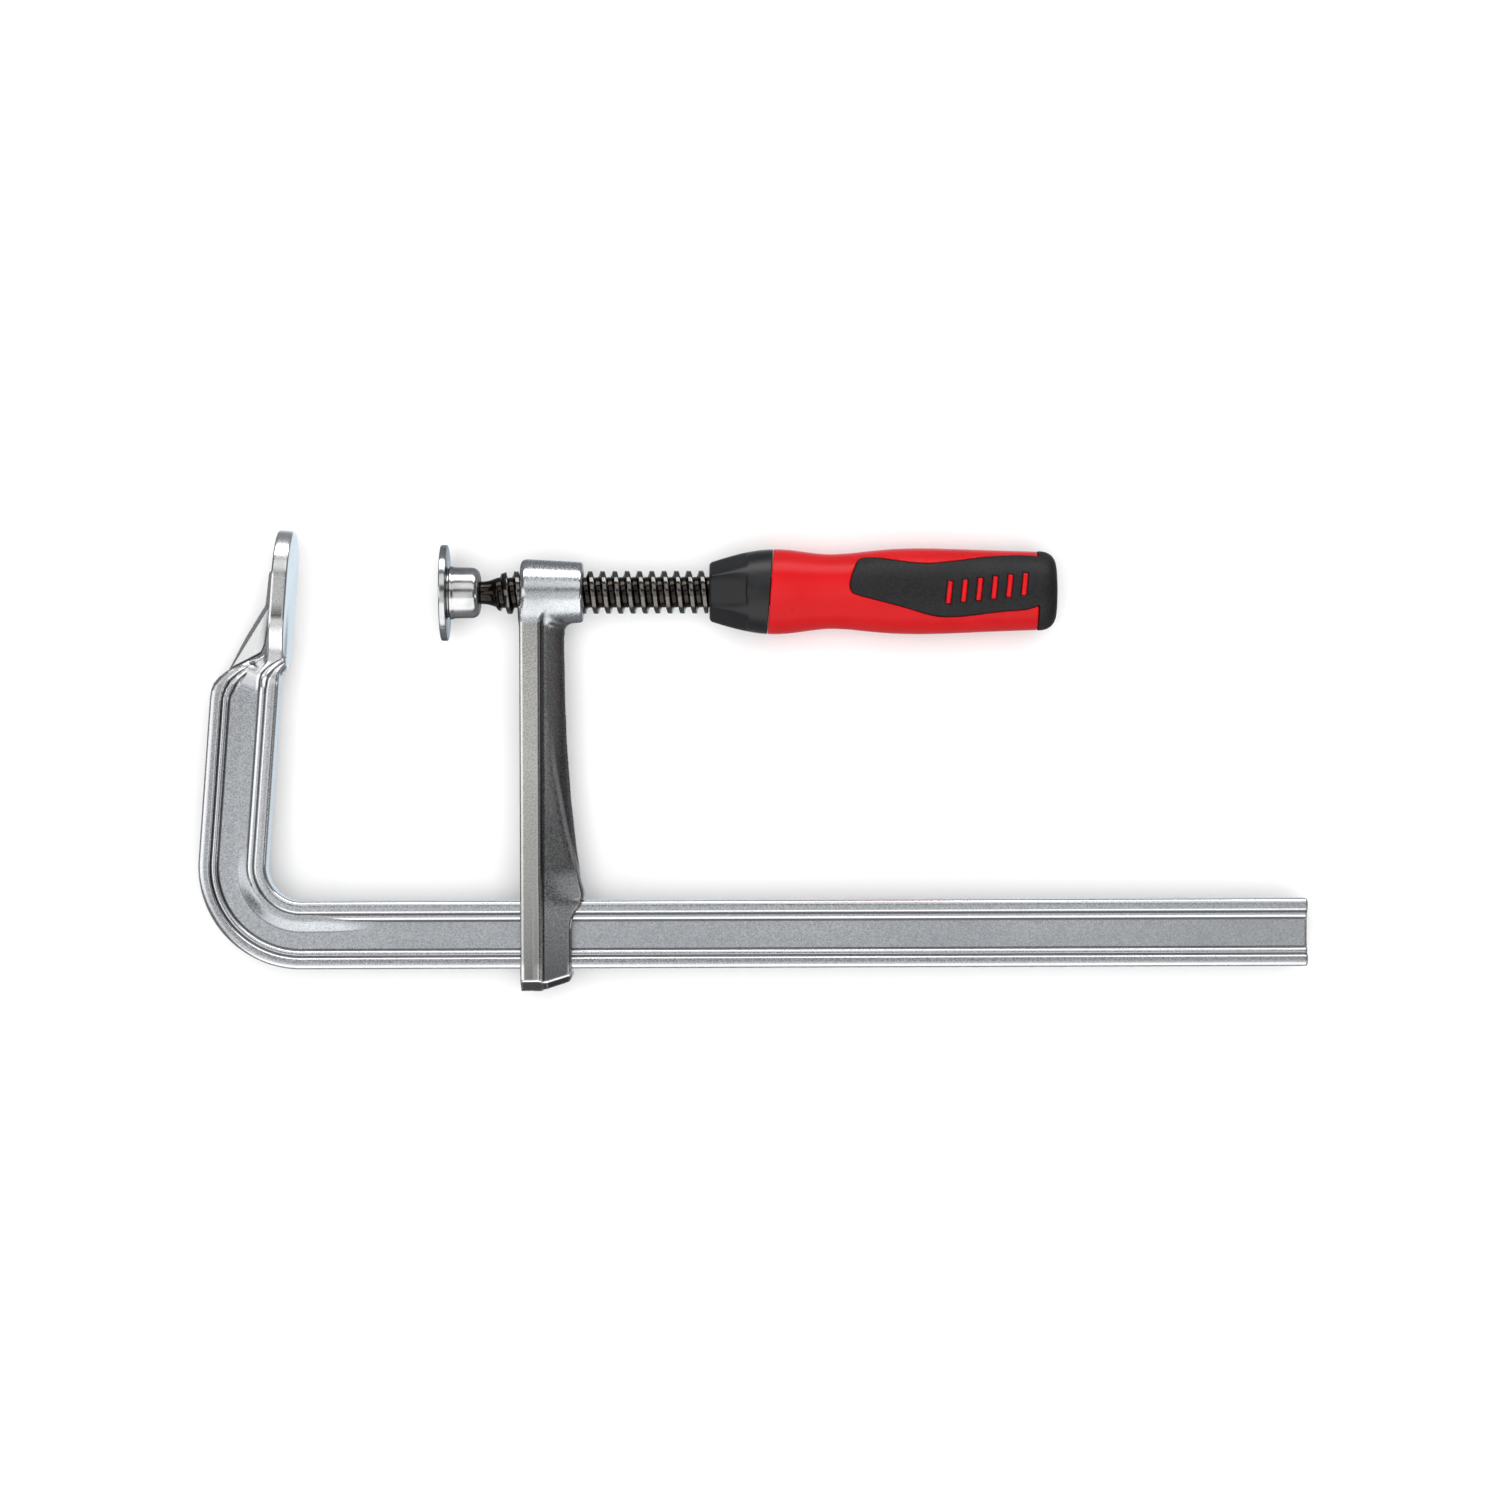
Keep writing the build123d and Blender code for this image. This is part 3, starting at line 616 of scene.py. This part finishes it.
def collar_field(x, y, z):
    """Front collar with six flats."""
    r = np.hypot(y, z)
    hexagon = None
    for a in (0, math.pi / 3, 2 * math.pi / 3):
        d = np.abs(y * math.sin(a) + z * math.cos(a))
        hexagon = d if hexagon is None else np.maximum(hexagon, d)
    t = (x - COLLAR_FRONT_X) / (FLATS_END_X - COLLAR_FRONT_X)
    apothem = FLAT_APOTHEM[0] + (FLAT_APOTHEM[1] - FLAT_APOTHEM[0]) * t
    flats = smooth_min(hexagon - apothem, FLATS_END_X - x, 0.25)
    f = smooth_max(r - handle_radius(x), flats, 0.7)
    f = smooth_max(f, COLLAR_FRONT_X - x, 1.1)
    f = smooth_max(f, collar_plane(x, y) + SEAM, 0.35)
    return smooth_max(f, BORE_R - r, 0.2)


def handle_piece(name, node, field):
    """A piece of the handle meshed over its CAD node's box."""
    low, high = box_mm(node)
    return mesh_object(name, *sculpt(field, even(low - 1, high + 1, HANDLE_STEP), HANDLE_STEP))


# --- materials ----------------------------------------------------------------------------------------
def put(tree, kind, **values):
    """A node with its inputs set: a value that is a socket is linked."""
    n = tree.nodes.new("ShaderNode" + kind)
    for key, value in values.items():
        if hasattr(n, key) and not key[0].isupper():
            setattr(n, key, value)
            continue
        name = int(key[1:]) if key[0] == "_" else key.replace("_", " ")
        socket = n.inputs[name]
        if isinstance(value, bpy.types.NodeSocket):
            tree.links.new(value, socket)
        else:
            socket.default_value = value
    return n


def colour(value):
    """Linear colour from 0-255 screen values."""
    out = []
    for v in value:
        v /= 255
        out.append(v / 12.92 if v <= 0.04045 else ((v + 0.055) / 1.055) ** 2.4)
    return (*out, 1)


def noise(tree, scale, detail=2, rough=0.5):
    """Noise fixed to the object."""
    place = put(tree, "TexCoord").outputs["Object"]
    return put(tree, "TexNoise", Vector=place, Scale=scale, Detail=detail, Roughness=rough).outputs[0]


def band(tree, value, low, high, to_low=0.0, to_high=1.0):
    """value run from low..high to to_low..to_high, clamped."""
    n = put(tree, "MapRange", Value=value, From_Min=low, From_Max=high, To_Min=to_low, To_Max=to_high)
    return n.outputs[0]


def mix(tree, factor, a, b):
    """From colour a to colour b."""
    n = tree.nodes.new("ShaderNodeMix")
    n.data_type = "RGBA"
    for socket, value in ((n.inputs[0], factor), (n.inputs[6], a), (n.inputs[7], b)):
        if isinstance(value, bpy.types.NodeSocket):
            tree.links.new(value, socket)
        else:
            socket.default_value = value
    return n.outputs[2]


def maths(tree, operation, a, b=0.0):
    return put(tree, "Math", operation=operation, _0=a, _1=b).outputs[0]


def bumps(tree, heights):
    """Normal from several (height socket, depth in millimetres) pairs."""
    normal = None
    for height, depth in heights:
        n = put(tree, "Bump", Height=height, Distance=depth * MM, Strength=1.0)
        if normal is not None:
            tree.links.new(normal, n.inputs["Normal"])
        normal = n.outputs[0]
    return normal


def surface(name, build):
    """A material whose shader takes what build returns."""
    mat = bpy.data.materials.new(name)
    mat.use_nodes = True
    tree = mat.node_tree
    shader = tree.nodes["Principled BSDF"]
    for key, value in build(tree).items():
        socket = shader.inputs[key]
        if isinstance(value, bpy.types.NodeSocket):
            tree.links.new(value, socket)
        else:
            socket.default_value = value
    return mat


def xyz(tree, kind="Object"):
    """The object's own coordinates, or its normal, as three sockets."""
    return put(tree, "SeparateXYZ", Vector=put(tree, "TexCoord").outputs[kind]).outputs


def span(tree, value, low, high, to_low=0.0, to_high=1.0):
    """band over lengths in millimetres."""
    return band(tree, value, low * MM, high * MM, to_low, to_high)


def product(tree, first, *others):
    for other in others:
        first = maths(tree, "MULTIPLY", first, other)
    return first


def shades(tree, value, dark, light, low=0.35, high=0.65):
    """From a dark to a light screen colour as a noise value runs from low to high."""
    return mix(tree, band(tree, value, low, high), colour(dark), colour(light))


def over(tree, factor, tone, paint):
    """The tone with a screen colour laid over it."""
    return mix(tree, factor, tone, colour(paint))


def wear_grime_and_painted_light(tree):
    """How far a place is a worn edge, lightened also as a painted highlight, and how far it is a
    hollow, darkened with grime and painted shade.
    """
    edge = put(tree, "Attribute", attribute_name="edge").outputs["Fac"]
    return band(tree, edge, 0.15, 0.9), band(tree, edge, -0.12, -0.9)


def steel(tone, rough, normal, **more):
    return {"Base Color": tone, "Metallic": 1.0, "Roughness": rough, "Normal": normal, **more}


def plastic(tone, gloss, rough, normal):
    return {"Base Color": tone, "Specular IOR Level": gloss, "Roughness": rough, "Normal": normal}


def worn_roughness(tree, patch, grain, smooth, dull):
    """Roughness that varies by patch and by grain."""
    return maths(tree, "ADD", band(tree, patch, 0.3, 0.7, smooth, dull),
                 band(tree, grain, 0.35, 0.65, -0.05, 0.05))


def polished(tree, rough, wear_and_glint):
    """A little smoother on worn edges."""
    return maths(tree, "SUBTRACT", rough, product(tree, wear_and_glint, 0.08))


def rail_steel(tree):
    """Plated drawn steel, with painted light brightening the forged head and a darker patch on the jaw
    plate's rim.
    """
    grain, fine, patch = noise(tree, 2200, 3), noise(tree, 5200, 2), noise(tree, 25, 3)
    x, y, _ = xyz(tree)
    facing = xyz(tree, "Normal")[2]
    tone = shades(tree, grain, (174, 178, 183), (218, 221, 225))
    tone = over(tree, band(tree, patch, 0.35, 0.7, 0, 0.25), tone, (178, 181, 186))
    # Painted light: the forged head is brightened from Y -30 up.
    tone = over(tree, span(tree, y, -30, -24, 0, 0.7), tone, (241, 241, 240))
    # A darker patch on the jaw plate's rim, on faces turned along Z.
    rim_dark_patch = product(
        tree, span(tree, y, -3.4, -7.4), span(tree, y, -9.2, -7.8), span(tree, x, -7.2, -6.2),
        span(tree, x, -0.6, -1.3), band(tree, grain, 0.3, 0.6, 0.45, 0.9),
        band(tree, product(tree, facing, facing), 0.15, 0.45),
    )
    tone = over(tree, rim_dark_patch, tone, (70, 66, 62))
    wear_and_glint, hollow = wear_grime_and_painted_light(tree)
    # Worn edges are lightened, partly as a painted highlight; hollows are darkened with grime and
    # painted shade.
    tone = over(tree, wear_and_glint, tone, (240, 240, 242))
    tone = over(tree, hollow, tone, (104, 105, 109))
    rough = polished(tree, worn_roughness(tree, patch, grain, 0.27, 0.33), wear_and_glint)
    return steel(tone, rough, bumps(tree, [(grain, 0.006), (fine, 0.003)]))


def forged_steel(tree):
    """Light on the flange and the boss; painted shade makes the stem and cheeks dark and the foot
    darker, and painted light brightens parts of the stem and cheeks.
    """
    grain, fine, patch = noise(tree, 1800, 3), noise(tree, 4600, 2), noise(tree, 40, 4)
    x, y, _ = xyz(tree)
    # The boss's cooler tone above Y -9 is a painted reflection tint.
    below = span(tree, y, -9, -13)
    light = mix(tree, below, shades(tree, grain, (200, 204, 208), (234, 238, 242)),
                shades(tree, grain, (212, 211, 206), (246, 245, 241)))
    # Painted shade: the flange darkens from Y -55 towards the foot.
    light = over(tree, span(tree, y, -55, -125, 0, 0.85), light, (128, 128, 129))
    # Painted shade: the stem and cheeks take a darker copy of the steel, and the lighter mix below Y
    # -91 is painted light on the cheeks.
    dark = mix(tree, span(tree, y, -91, -100, 0, 0.35),
               shades(tree, grain, (110, 111, 113), (154, 155, 157)),
               shades(tree, grain, (140, 142, 145), (186, 188, 191)))
    # Painted light on the upper stem.
    upper = product(tree, span(tree, y, -78, -45, 0, 0.7), span(tree, x, 87.8, 85.4))
    dark = over(tree, upper, dark, (206, 206, 208))
    # Painted shade: the stem and cheeks darken further towards the foot.
    dark = over(tree, span(tree, y, -104, -124, 0, 0.75), dark, (98, 99, 101))
    # The flange and boss take the lit tone, and the stem and cheeks take the painted-shade tone.
    tone = mix(tree, product(tree, span(tree, x, 80.5, 83.0), below), light, dark)
    tone = over(tree, band(tree, patch, 0.4, 0.7, 0, 0.2), tone, (110, 108, 106))
    wear_and_glint, hollow = wear_grime_and_painted_light(tree)
    # Worn edges are lightened, partly as a painted highlight; hollows are darkened with grime and
    # painted shade.
    tone = over(tree, product(tree, wear_and_glint, 0.4), tone, (225, 225, 222))
    tone = over(tree, product(tree, hollow, 0.85), tone, (66, 66, 68))
    # Painted highlight along the arm's ridge and the edge of its foot.
    bright = put(tree, "Attribute", attribute_name="wear_and_glint").outputs["Fac"]
    tone = over(tree, product(tree, bright, 0.95), tone, (250, 250, 250))
    rough = worn_roughness(tree, patch, grain, 0.23, 0.3)
    rough = maths(tree, "ADD", rough, span(tree, y, -13, -9, 0, -0.01))
    return steel(tone, polished(tree, rough, wear_and_glint), bumps(tree, [(grain, 0.008), (fine, 0.004)]),
                 **{"Specular Tint": (0.5, 0.5, 0.51, 1)})


def burnished_steel(tree):
    """Dark screw with its crests worn lighter."""
    grain, patch = noise(tree, 1500, 3), noise(tree, 220, 4)
    tone = shades(tree, patch, (40, 37, 35), (76, 71, 67), 0.35, 0.7)
    across = put(tree, "VectorMath", operation="MULTIPLY", _1=(0, 1, 1),
                 _0=put(tree, "TexCoord").outputs["Object"]).outputs[0]
    radius = put(tree, "VectorMath", operation="LENGTH", _0=across).outputs["Value"]
    crest = product(tree, span(tree, radius, 6.5, 6.95), band(tree, grain, 0.3, 0.6, 0.6, 1))
    return steel(over(tree, crest, tone, (124, 121, 117)), band(tree, patch, 0.3, 0.7, 0.1, 0.18),
                 bumps(tree, [(grain, 0.01), (patch, 0.03)]))


def plated_steel(tree):
    """Bright plating, with painted shade where it faces along the screw."""
    grain, patch = noise(tree, 2000, 2), noise(tree, 150, 4)
    tone = shades(tree, patch, (198, 199, 200), (224, 224, 225))
    facing = put(tree, "SeparateXYZ", Vector=put(tree, "NewGeometry").outputs["Normal"]).outputs[0]
    # Painted shade on faces that point along the screw, such as the back of the disc.
    tone = over(tree, band(tree, facing, 0.85, 0.97), tone, (160, 160, 161))
    return steel(tone, band(tree, patch, 0.3, 0.7, 0.13, 0.22),
                 bumps(tree, [(grain, 0.004), (patch, 0.02)]),
                 **{"Specular Tint": (0.35, 0.35, 0.36, 1)})


def spring_steel(tree):
    grain = noise(tree, 1200, 3)
    tone = shades(tree, grain, (120, 120, 122), (160, 160, 162), 0.3, 0.7)
    return steel(tone, band(tree, grain, 0.3, 0.7, 0.25, 0.35), bumps(tree, [(grain, 0.01)]))


def collar_plastic(tree):
    grain, patch = noise(tree, 1600, 2), noise(tree, 120, 3)
    tone = shades(tree, patch, (12, 13, 15), (21, 22, 24), 0.3, 0.7)
    return plastic(tone, 0.45, band(tree, patch, 0.3, 0.7, 0.3, 0.4),
                   bumps(tree, [(grain, 0.012), (patch, 0.04)]))


def red_plastic(tree):
    grain, patch = noise(tree, 1900, 2), noise(tree, 90, 3)
    tone = shades(tree, patch, (190, 7, 14), (197, 10, 18), 0.3, 0.7)
    return plastic(tone, 0.2, band(tree, patch, 0.3, 0.7, 0.27, 0.35),
                   bumps(tree, [(grain, 0.006), (patch, 0.04)]))


def soft_rubber(tree):
    grain, fine = noise(tree, 1100, 4, rough=0.6), noise(tree, 3200, 2)
    patch = noise(tree, 110, 3)
    tone = shades(tree, grain, (13, 13, 15), (27, 27, 29))
    tone = over(tree, band(tree, patch, 0.45, 0.75, 0, 0.3), tone, (36, 36, 38))
    return plastic(tone, 0.33, band(tree, patch, 0.3, 0.7, 0.48, 0.62),
                   bumps(tree, [(grain, 0.04), (fine, 0.02)]))


def floor_paint(_):
    return {"Base Color": (0.9, 0.9, 0.9, 1), "Roughness": 0.9}


# --- pieces -------------------------------------------------------------------------------------------
def finish_piece(obj, body, node, build):
    """Give the piece its material and the body that it rides on, and hide the CAD node that it stands
    in for.
    """
    obj.data.materials.append(surface(build.__name__, build))
    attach(obj, body)
    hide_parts(node)


finish_piece(rail_with_fixed_jaw(), "rail", "rail_with_fixed_jaw", rail_steel)
finish_piece(sliding_arm(), "arm", "sliding_arm", forged_steel)
finish_piece(spindle(), "screw", "spindle", burnished_steel)
finish_piece(pressure_plate(), "plate", "pressure_plate", plated_steel)
for name, node, slot, field, build in (
    ("collar", "handle_front_collar", "black_collar", collar_field, collar_plastic),
    ("core", "handle_core", "red_plastic", core_field, red_plastic),
    ("grip", "soft_grip", "soft_black", grip_field, soft_rubber),
):
    finish_piece(handle_piece(name, node, field), "screw", node, build)
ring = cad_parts["pad_retaining_ring"]
ring_mat = surface("spring_steel", spring_steel)
for held in ring.material_slots:
    held.material = ring_mat

# --- floor, lights, camera ----------------------------------------------------------------------------
FLOOR_Z = cad_bounds[0].z
bpy.ops.mesh.primitive_plane_add(size=12, location=(0.15, -0.05, FLOOR_Z))
floor = bpy.context.object
floor.name = "floor"
floor.data.materials.append(surface("floor_paint", floor_paint))
floor.visible_glossy = False

CENTRE = Vector((0.1489, -0.0514, 0.0))


def softbox(name, offset, size, power):
    """A rectangular light at an offset from the middle of the view, facing it."""
    data = bpy.data.lights.new(name, "AREA")
    data.shape = "RECTANGLE"
    data.size, data.size_y = size
    data.energy = power
    obj = bpy.data.objects.new(name, data)
    bpy.context.scene.collection.objects.link(obj)
    obj.location = CENTRE + Vector(offset)
    obj.rotation_euler = (-Vector(offset)).to_track_quat("-Z", "Y").to_euler()
    obj.visible_camera = False
    return obj


softbox("key", (0.1, 1.9, 0.6), (2.8, 0.95), 28)
softbox("upper", (0.1, 1.05, 1.75), (2.6, 1.0), 7)
softbox("front", (0.0, -1.56, 1.09), (2.8, 2.3), 26)
softbox("left", (-1.4, 0.0, 1.35), (0.8, 2.2), 6.6)
softbox("edge", (1.5, -0.38, 0.75), (0.24, 0.7), 1.0)
softbox("overhead", (0.05, -0.36, 2.2), (1.6, 1.0), 3.1)
fill = softbox("fill", (0.0, 0.0, 2.4), (2.0, 2.0), 44)
fill.visible_glossy = False

# The sky is dim. Straight below, a pale glow shows in the jaw's face and the far sides.
SKY, GROUND, GLOW = (0.11, 0.11, 0.11, 1), (0.24, 0.24, 0.25, 1), (0.96, 1.12, 1.22, 1)
world = bpy.data.worlds.new("studio")
world.use_nodes = True
sky = world.node_tree
toward = put(sky, "SeparateXYZ", Vector=put(sky, "TexCoord").outputs["Generated"])
height = toward.outputs[2]
pale = band(sky, height, -0.72, -0.98)
for side in toward.outputs[:2]:
    pale = maths(sky, "MULTIPLY", pale, band(sky, side, -0.32, -0.08))
low = mix(sky, pale, GROUND, GLOW)
sky.links.new(mix(sky, band(sky, height, -0.1, 0.05), low, SKY), sky.nodes["Background"].inputs[0])
bpy.context.scene.world = world
bpy.context.scene.view_settings.view_transform = "Standard"

CAMERA_HEIGHT = 1.3
lens = bpy.data.cameras.new("camera")
lens.lens, lens.sensor_width = 96.0, 36.0
camera = bpy.data.objects.new("camera", lens)
camera.location = CENTRE + Vector((0, 0, CAMERA_HEIGHT))
camera.rotation_euler = (0, 0, math.radians(-0.2))
bpy.context.scene.collection.objects.link(camera)
bpy.context.scene.camera = camera
